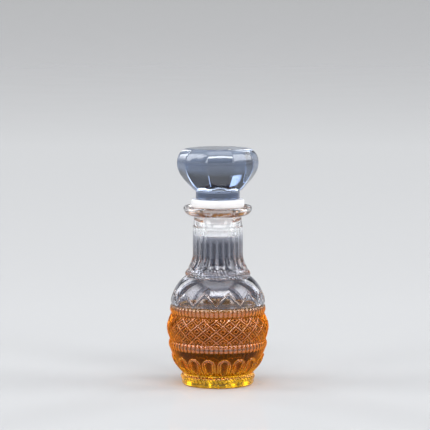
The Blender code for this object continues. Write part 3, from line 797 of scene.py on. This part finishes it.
# Plastic
PLASTIC_IOR = 1.51
PLASTIC_SHADE = (0.94, 0.945, 0.96, 1.0)
PLASTIC_COLOR = (0.98, 0.98, 0.985, 1.0)
PLASTIC_CLOUD_SCALE = 140.0
PLASTIC_GRAIN = 0.00003
PLASTIC_GRAIN_SCALE = 1400.0
PLASTIC_ROUGHNESS = 0.28
PLASTIC_ROUGHNESS_RANGE = 0.12
PLASTIC_GLOW = 0.35
PLASTIC_GLOW_REACH = 0.002


class Value:
    """One output of a shader node. Sums, products and powers of values add their Math nodes."""

    def __init__(self, finish, socket):
        self.finish = finish
        self.socket = socket

    def math(self, operation, *others, clamp=False):
        settings = {"operation": operation, "use_clamp": clamp}
        return self.finish.node("Math", settings, dict(enumerate((self, *others))))

    def reversed_math(self, operation, other):
        return self.finish.node("Math", {"operation": operation}, {0: other, 1: self})

    def __add__(self, other):
        return self.math("ADD", other)

    def __mul__(self, other):
        return self.math("MULTIPLY", other)

    def __sub__(self, other):
        return self.math("SUBTRACT", other)

    def __rsub__(self, other):
        return self.reversed_math("SUBTRACT", other)

    def __truediv__(self, other):
        return self.math("DIVIDE", other)

    def __rtruediv__(self, other):
        return self.reversed_math("DIVIDE", other)

    def __pow__(self, other):
        return self.math("POWER", other)

    def __rpow__(self, other):
        return self.reversed_math("POWER", other)

    __radd__ = __add__
    __rmul__ = __mul__

    def limited(self):
        return self.math("ADD", 0.0, clamp=True)

    def highest(self, other):
        return self.math("MAXIMUM", other)

    def within(self, middle, half, blur):
        """1 where the value lies within half of the middle, with a soft edge."""
        away = (self - middle).math("ABSOLUTE")
        return ((half - away) / blur + 0.5).limited()


class Finish:
    """A node tree, and the one method that adds nodes to it."""

    def __init__(self, tree):
        self.tree = tree

    def node(self, kind, settings, inputs, output=0):
        """Adds a node: settings first, then each socket's value or link. Gives one output."""
        made = self.tree.nodes.new("ShaderNode" + kind)
        for name, value in settings.items():
            setattr(made, name, value)
        for name, value in inputs.items():
            if isinstance(value, Value):
                self.tree.links.new(value.socket, made.inputs[name])
            else:
                made.inputs[name].default_value = value
        return Value(self, made.outputs[output])

    def blend(self, factor, first, second, how="MIX"):
        """A colour between two, by a factor."""
        settings = {"data_type": "RGBA", "blend_type": how}
        return self.node("Mix", settings, {0: factor, 6: first, 7: second}, 2)

    def multiplied(self, factor, colour, tint):
        """A colour, multiplied with a tint as far as the factor says."""
        return self.blend(factor, colour, tint, "MULTIPLY")

    def places(self):
        return self.node("TexCoord", {}, {}, "Object")

    def along(self, axis, places):
        return self.node("SeparateXYZ", {}, {0: places}, axis)

    def level(self):
        """The height over the table, as it is with every piece at rest."""
        return self.along("Z", self.places())

    def noise(self, scale, detail=2.0, stretch=None):
        where = self.places()
        if stretch is not None:
            where = self.node("Mapping", {}, {"Vector": where, "Scale": stretch})
        return self.node("TexNoise", {}, {"Vector": where, "Scale": scale, "Detail": detail})

    def bump(self, height, distance):
        inputs = {"Height": height, "Distance": distance, "Strength": 1.0}
        return self.node("Bump", {}, inputs, "Normal")


def surfaced(name, constants, varying):
    """A material with one Principled shader: constants on its sockets, then what varies."""
    material = bpy.data.materials.new(name)
    material.use_nodes = True
    finish = Finish(material.node_tree)
    shader = material.node_tree.nodes["Principled BSDF"]
    for socket, value in constants.items():
        shader.inputs[socket].default_value = value
    for socket, value in varying(finish).items():
        material.node_tree.links.new(value.socket, shader.inputs[socket])
    return material


def pressed_glass(name, colour, ripple, gloss, reflected=WHITE):
    """Fire-polished glass: a faint ripple, a tint that drifts a little, and a soft gloss on the
    crests of the relief, which is weaker in the foot and towards the edges."""
    def varying(finish):
        wide = finish.noise(RIPPLE_SCALE, detail=1.0, stretch=RIPPLE_STRETCH)
        fine = finish.noise(FINE_RIPPLE_SCALE, detail=1.0)
        waves = wide * (1 - FINE_RIPPLE_SHARE) + fine * FINE_RIPPLE_SHARE
        facing = 1.0 - edge_on(finish, start=0.0, blur=GLOSS_EDGE_BLUR)
        shine = crest_and_painted_shade(finish) ** GLOSS_CURVE * facing
        return {
            "Base Color": colour(finish),
            "Metallic": glowing_edge(finish),
            "Roughness": finish.noise(ROUGHNESS_SCALE) * GLASS_ROUGHNESS,
            "Coat Weight": shine * (1.0 - foot_share(finish) * FOOT_GLOSS_LOSS) * gloss,
            "Normal": finish.bump(waves, ripple),
        }
    return surfaced(name, {
        "Transmission Weight": 1.0, "IOR": GLASS_IOR, "Specular Tint": reflected,
        "Coat IOR": GLOSS_IOR, "Coat Roughness": GLOSS_ROUGHNESS}, varying)


def lower_glass():
    """The bottle's glass round the whiskey, whose light it passes on."""
    return pressed_glass("whiskey_lit_glass", lit_by_whiskey, BOTTLE_RIPPLE, LOWER_GLOSS, GLEAM)


def upper_glass():
    return pressed_glass("clear_glass", lit_by_whiskey, BOTTLE_RIPPLE, UPPER_GLOSS)


def wetted_glass():
    """The inside of the bottle round the whiskey, where glass meets whiskey and not air."""
    def varying(finish):
        ripple = finish.bump(finish.noise(RIPPLE_SCALE), BOTTLE_RIPPLE)
        return {"Base Color": clear(finish), "Normal": ripple}
    return surfaced("wetted_glass", {
        "Transmission Weight": 1.0, "Roughness": 0.0, "IOR": GLASS_IOR / WHISKEY_IOR}, varying)


# The crest attribute: 1 on the relief's crests, lower where painted shade darkens the glass; it
# also weights the gloss
def crest_and_painted_shade(finish):
    return finish.node("Attribute", {"attribute_name": "crest"}, {}, "Fac")


def foot_share(finish):
    """1 in the foot, and less and less up to the tops of the arches."""
    return ((FOOT_GLOW_TOP - finish.level()) / FOOT_GLOW_FADE).limited()


def edge_on(finish, start=0.4, blur=0.5):
    """0 where the glass faces the eye, and up to 1 towards its edges, where it is seen deeper. It
    places the painted edge shade and the painted glow, and fades the gloss.
    """
    return ((finish.node("LayerWeight", {}, {}, "Facing") - start) / blur).limited()


def clear(finish):
    return finish.blend(finish.noise(TINT_SCALE), CLEAR_TINT, CLEAR_SHADE)


def below_plug(finish, z):
    """Clear, and greyer below the plug: painted shade where nothing white stands behind the glass.
    """
    below = ((PLUG_BASE - z) / PLUG_SHADE_FADE + 1.0).limited()
    return finish.multiplied(below, clear(finish), BELOW_SHADE)


def head_tint_and_painted_light(finish):
    """The head's tint: blue-grey and dark, partly its own tone and partly painted shade; clear
    towards the top as a painted highlight, and dark in the corners of its neck as painted shade.
    """
    painted_top_light = ((finish.level() - (HEAD_TOP - CROWN_FADE)) / CROWN_FADE).limited()
    tint = finish.blend(finish.noise(TINT_SCALE), HEAD_TINT, HEAD_SHADE)
    tint = finish.blend(painted_top_light, tint, CLEAR_TINT)
    return finish.multiplied(1.0 - crest_and_painted_shade(finish), tint, HEAD_CORNER_SHADE)


def glowing_edge(finish):
    """How far the edges of the glass turn metallic in the whiskey's colour, where the whiskey is: a
    painted glow.
    """
    middle = (WHISKEY_LEVEL + WAIST) / 2
    round_whiskey = finish.level().within(middle, (WHISKEY_LEVEL - WAIST) / 2, WALL_GLOW_FADE)
    return edge_on(finish, EDGE_GLEAM_START, EDGE_GLEAM_BLUR) * round_whiskey * EDGE_GLEAM


def lit_by_whiskey(finish):
    """Clear, but amber round the whiskey and yellow in the thick foot, which pass its light on,
    and amber in patches on the lip: all painted glow. The grooves of the relief turn light away,
    so they are painted darker than its crests: painted shade, as are the darker edges of the
    clear glass and its grey below the plug."""
    z = finish.level()
    foot = foot_share(finish)
    wall = ((WHISKEY_LEVEL - z) / WALL_GLOW_FADE).limited()
    glow = finish.blend(foot, WALL_GLOW, FOOT_GLOW)
    patches = (finish.noise(PATCH_SCALE) * PATCH_CONTRAST - PATCH_LOSS).limited()
    lip = z.within(LIP_GLOW_LEVEL, LIP_GLOW_HALF_HEIGHT, LIP_GLOW_FADE) * patches
    edge = edge_on(finish)
    bare = finish.multiplied(edge, below_plug(finish, z), EDGE_SHADE)
    crest = finish.blend(wall, finish.blend(lip, bare, LIP_GLOW), glow)
    shadow = finish.blend(wall, GROOVE_SHADE, finish.blend(foot, AMBER_GROOVE_SHADE, FOOT_GROOVE_SHADE))
    # Round the whiskey the edges take the crests' colour: a painted light on its sides
    raised = crest_and_painted_shade(finish) ** (1.0 - wall * WALL_SHADE_LOSS)
    return finish.multiplied(1.0 - raised.highest(edge * wall), crest, shadow)


def amber_whiskey():
    """A clear spirit, darker the farther light goes through it. Only its top bends light:
    the glass round the rest has the step between glass and whiskey in its own finish."""
    liquid = {"Base Color": WHITE, "Roughness": 0.0, "Transmission Weight": 1.0}
    bending = {**liquid, "IOR": WHISKEY_IOR, "Specular Tint": GLEAM}

    def rippled(finish):
        return {"Normal": finish.bump(finish.noise(WHISKEY_RIPPLE_SCALE), WHISKEY_RIPPLE)}
    material = surfaced("amber_whiskey", bending, rippled)
    nodes, links = material.node_tree.nodes, material.node_tree.links
    finish = Finish(material.node_tree)
    top = Value(finish, nodes["Principled BSDF"].outputs["BSDF"])
    wall = finish.node("BsdfPrincipled", {}, {**liquid, "IOR": 1.0})
    x, y, z = (finish.along(axis, finish.places()) for axis in "XYZ")
    edge = cavity_radius(WHISKEY_LEVEL) - 2 * SOAK
    inside = (x ** 2 + y ** 2).math("LESS_THAN", edge ** 2)
    under = 1.0 - z.math("GREATER_THAN", WHISKEY_LEVEL - SOAK) * inside
    mixed = finish.node("MixShader", {}, {0: under, 1: top, 2: wall})
    absorption = finish.node("VolumeAbsorption", {}, {
        "Color": WHISKEY_COLOR, "Density": WHISKEY_DENSITY})
    output = nodes["Material Output"]
    links.new(mixed.socket, output.inputs["Surface"])
    links.new(absorption.socket, output.inputs["Volume"])
    return material


def milky_plastic():
    """Moulded polyethylene: satin, and lit through near its edges."""
    def varying(finish):
        grain = finish.noise(PLASTIC_GRAIN_SCALE)
        cloud = finish.noise(PLASTIC_CLOUD_SCALE, detail=3.0)
        return {
            "Base Color": finish.blend(cloud, PLASTIC_SHADE, PLASTIC_COLOR),
            "Roughness": PLASTIC_ROUGHNESS + grain * PLASTIC_ROUGHNESS_RANGE,
            "Normal": finish.bump(grain, PLASTIC_GRAIN),
        }
    return surfaced("milky_plastic", {
        "IOR": PLASTIC_IOR, "Subsurface Weight": PLASTIC_GLOW,
        "Subsurface Scale": PLASTIC_GLOW_REACH, "Subsurface Radius": (1.0, 1.0, 1.0)}, varying)


# Stage

FLOOR_COLOR = (0.60, 0.605, 0.61, 1.0)
FLOOR_SIZE = 400.0
FLOOR_DROP = 0.02 * MM
FLOOR_IOR = 1.04  # low, so that the floor mirrors the bottle only at the flattest angles
FLOOR_ROUGHNESS = 0.02
FLOOR_MOTTLE_SCALE = 6.0

# The room's light: its strengths, its haze's top as the sine of an elevation, and the bearings
# within which the haze is weaker, behind the bottle
ROOM_COLOR = (0.97, 0.98, 1.0, 1.0)
ROOM_LIGHT = 0.06
HAZE_LIGHT = 0.62
HAZE_LEVEL = 0.10
HAZE_FADE = 0.12
BACK_LOSS = 0.26
BACK_HALF_WIDTH = 0.35
BACK_FADE = 0.3
CEILING_LIGHT = 1.4
CEILING_HALF = 0.10
CEILING_FADE = 0.04
WINDOW_SIDE_FADE = 0.03

# Each window of the studio: its middle and half height as the sine of its elevation and how far
# these ends fade, its middle and half width in bearing, and its strength
WINDOWS = (
    (0.72, 0.09, 0.02, 0.15, 0.60, 7.0),
    (0.52, 0.28, 0.14, -1.50, 0.30, 3.7),
    (0.52, 0.28, 0.14, 1.50, 0.30, 3.9),
    (0.44, 0.26, 0.10, -0.84, 0.17, 3.6),
    (0.44, 0.26, 0.10, 0.70, 0.13, 3.6),
    (0.44, 0.28, 0.20, -2.4, 0.10, 4.5),
    (0.44, 0.28, 0.20, 2.4, 0.10, 4.5),
    (0.36, 0.16, 0.02, -2.85, 0.07, 4.0),
    (0.36, 0.16, 0.02, 3.0, 0.04, 4.0),
)

# The camera's place, what it aims at, and the width in view at the bottle's distance
CAMERA_DISTANCE = 1.53
CAMERA_HEIGHT = 0.257
AIM_HEIGHT = 0.110
AIM_ASIDE = -0.0018
FIELD = 0.2765
SENSOR_WIDTH = 36.0


def floor():
    half = FLOOR_SIZE / 2
    data = bpy.data.meshes.new("floor")
    data.from_pydata([(-half, -half, 0), (half, -half, 0), (half, half, 0), (-half, half, 0)], [],
                     [(0, 1, 2, 3)])
    made = bpy.data.objects.new("floor", data)
    bpy.context.scene.collection.objects.link(made)
    made.location.z = -FLOOR_DROP

    def varying(finish):
        mottle = finish.noise(FLOOR_MOTTLE_SCALE)
        return {"Roughness": FLOOR_ROUGHNESS + mottle * FLOOR_ROUGHNESS}
    data.materials.append(surfaced("floor", {"Base Color": FLOOR_COLOR, "IOR": FLOOR_IOR}, varying))


def studio():
    """A dim room with a haze of light low down, weaker behind the bottle, a soft ceiling light
    and tall soft windows."""
    world = bpy.data.worlds.new("studio")
    bpy.context.scene.world = world
    world.use_nodes = True
    finish = Finish(world.node_tree)
    direction = finish.node("TexCoord", {}, {}, "Generated")
    x, y, z = (finish.along(axis, direction) for axis in "XYZ")
    bearing = x.math("ARCTAN2", y * -1.0)
    haze = 1.0 - ((z - HAZE_LEVEL) / HAZE_FADE).limited()
    behind = bearing.math("ABSOLUTE").within(math.pi, BACK_HALF_WIDTH, BACK_FADE)
    lamps = z.within(1.0, CEILING_HALF, CEILING_FADE) * CEILING_LIGHT
    for level, tall, fading, turn, wide, power in WINDOWS:
        window = z.within(level, tall, fading) * bearing.within(turn, wide, WINDOW_SIDE_FADE)
        lamps = lamps.highest(window * power)
    strength = ROOM_LIGHT + haze * (HAZE_LIGHT - behind * BACK_LOSS) + lamps
    background = world.node_tree.nodes["Background"]
    background.inputs["Color"].default_value = ROOM_COLOR
    world.node_tree.links.new(strength.socket, background.inputs["Strength"])


def camera():
    """The photograph's view: a long lens, a little above the bottle."""
    data = bpy.data.cameras.new("camera")
    data.sensor_width = SENSOR_WIDTH
    data.lens = SENSOR_WIDTH * CAMERA_DISTANCE / FIELD
    made = bpy.data.objects.new("camera", data)
    bpy.context.scene.collection.objects.link(made)
    made.location = (AIM_ASIDE, -CAMERA_DISTANCE, CAMERA_HEIGHT)
    aim = Vector((AIM_ASIDE, 0.0, AIM_HEIGHT)) - made.location
    made.rotation_euler = aim.to_track_quat("-Z", "Y").to_euler()
    bpy.context.scene.camera = made


bpy.context.scene.view_settings.view_transform = "Standard"
bpy.context.scene.cycles.blur_glossy = 0.0
bpy.context.scene.cycles.sample_clamp_indirect = 8.0
bpy.context.scene.cycles.max_bounces = 24
bpy.context.scene.cycles.glossy_bounces = 16
bpy.context.scene.cycles.transmission_bounces = 24
bottle()
head()
whiskey()
sleeve()
floor()
studio()
camera()
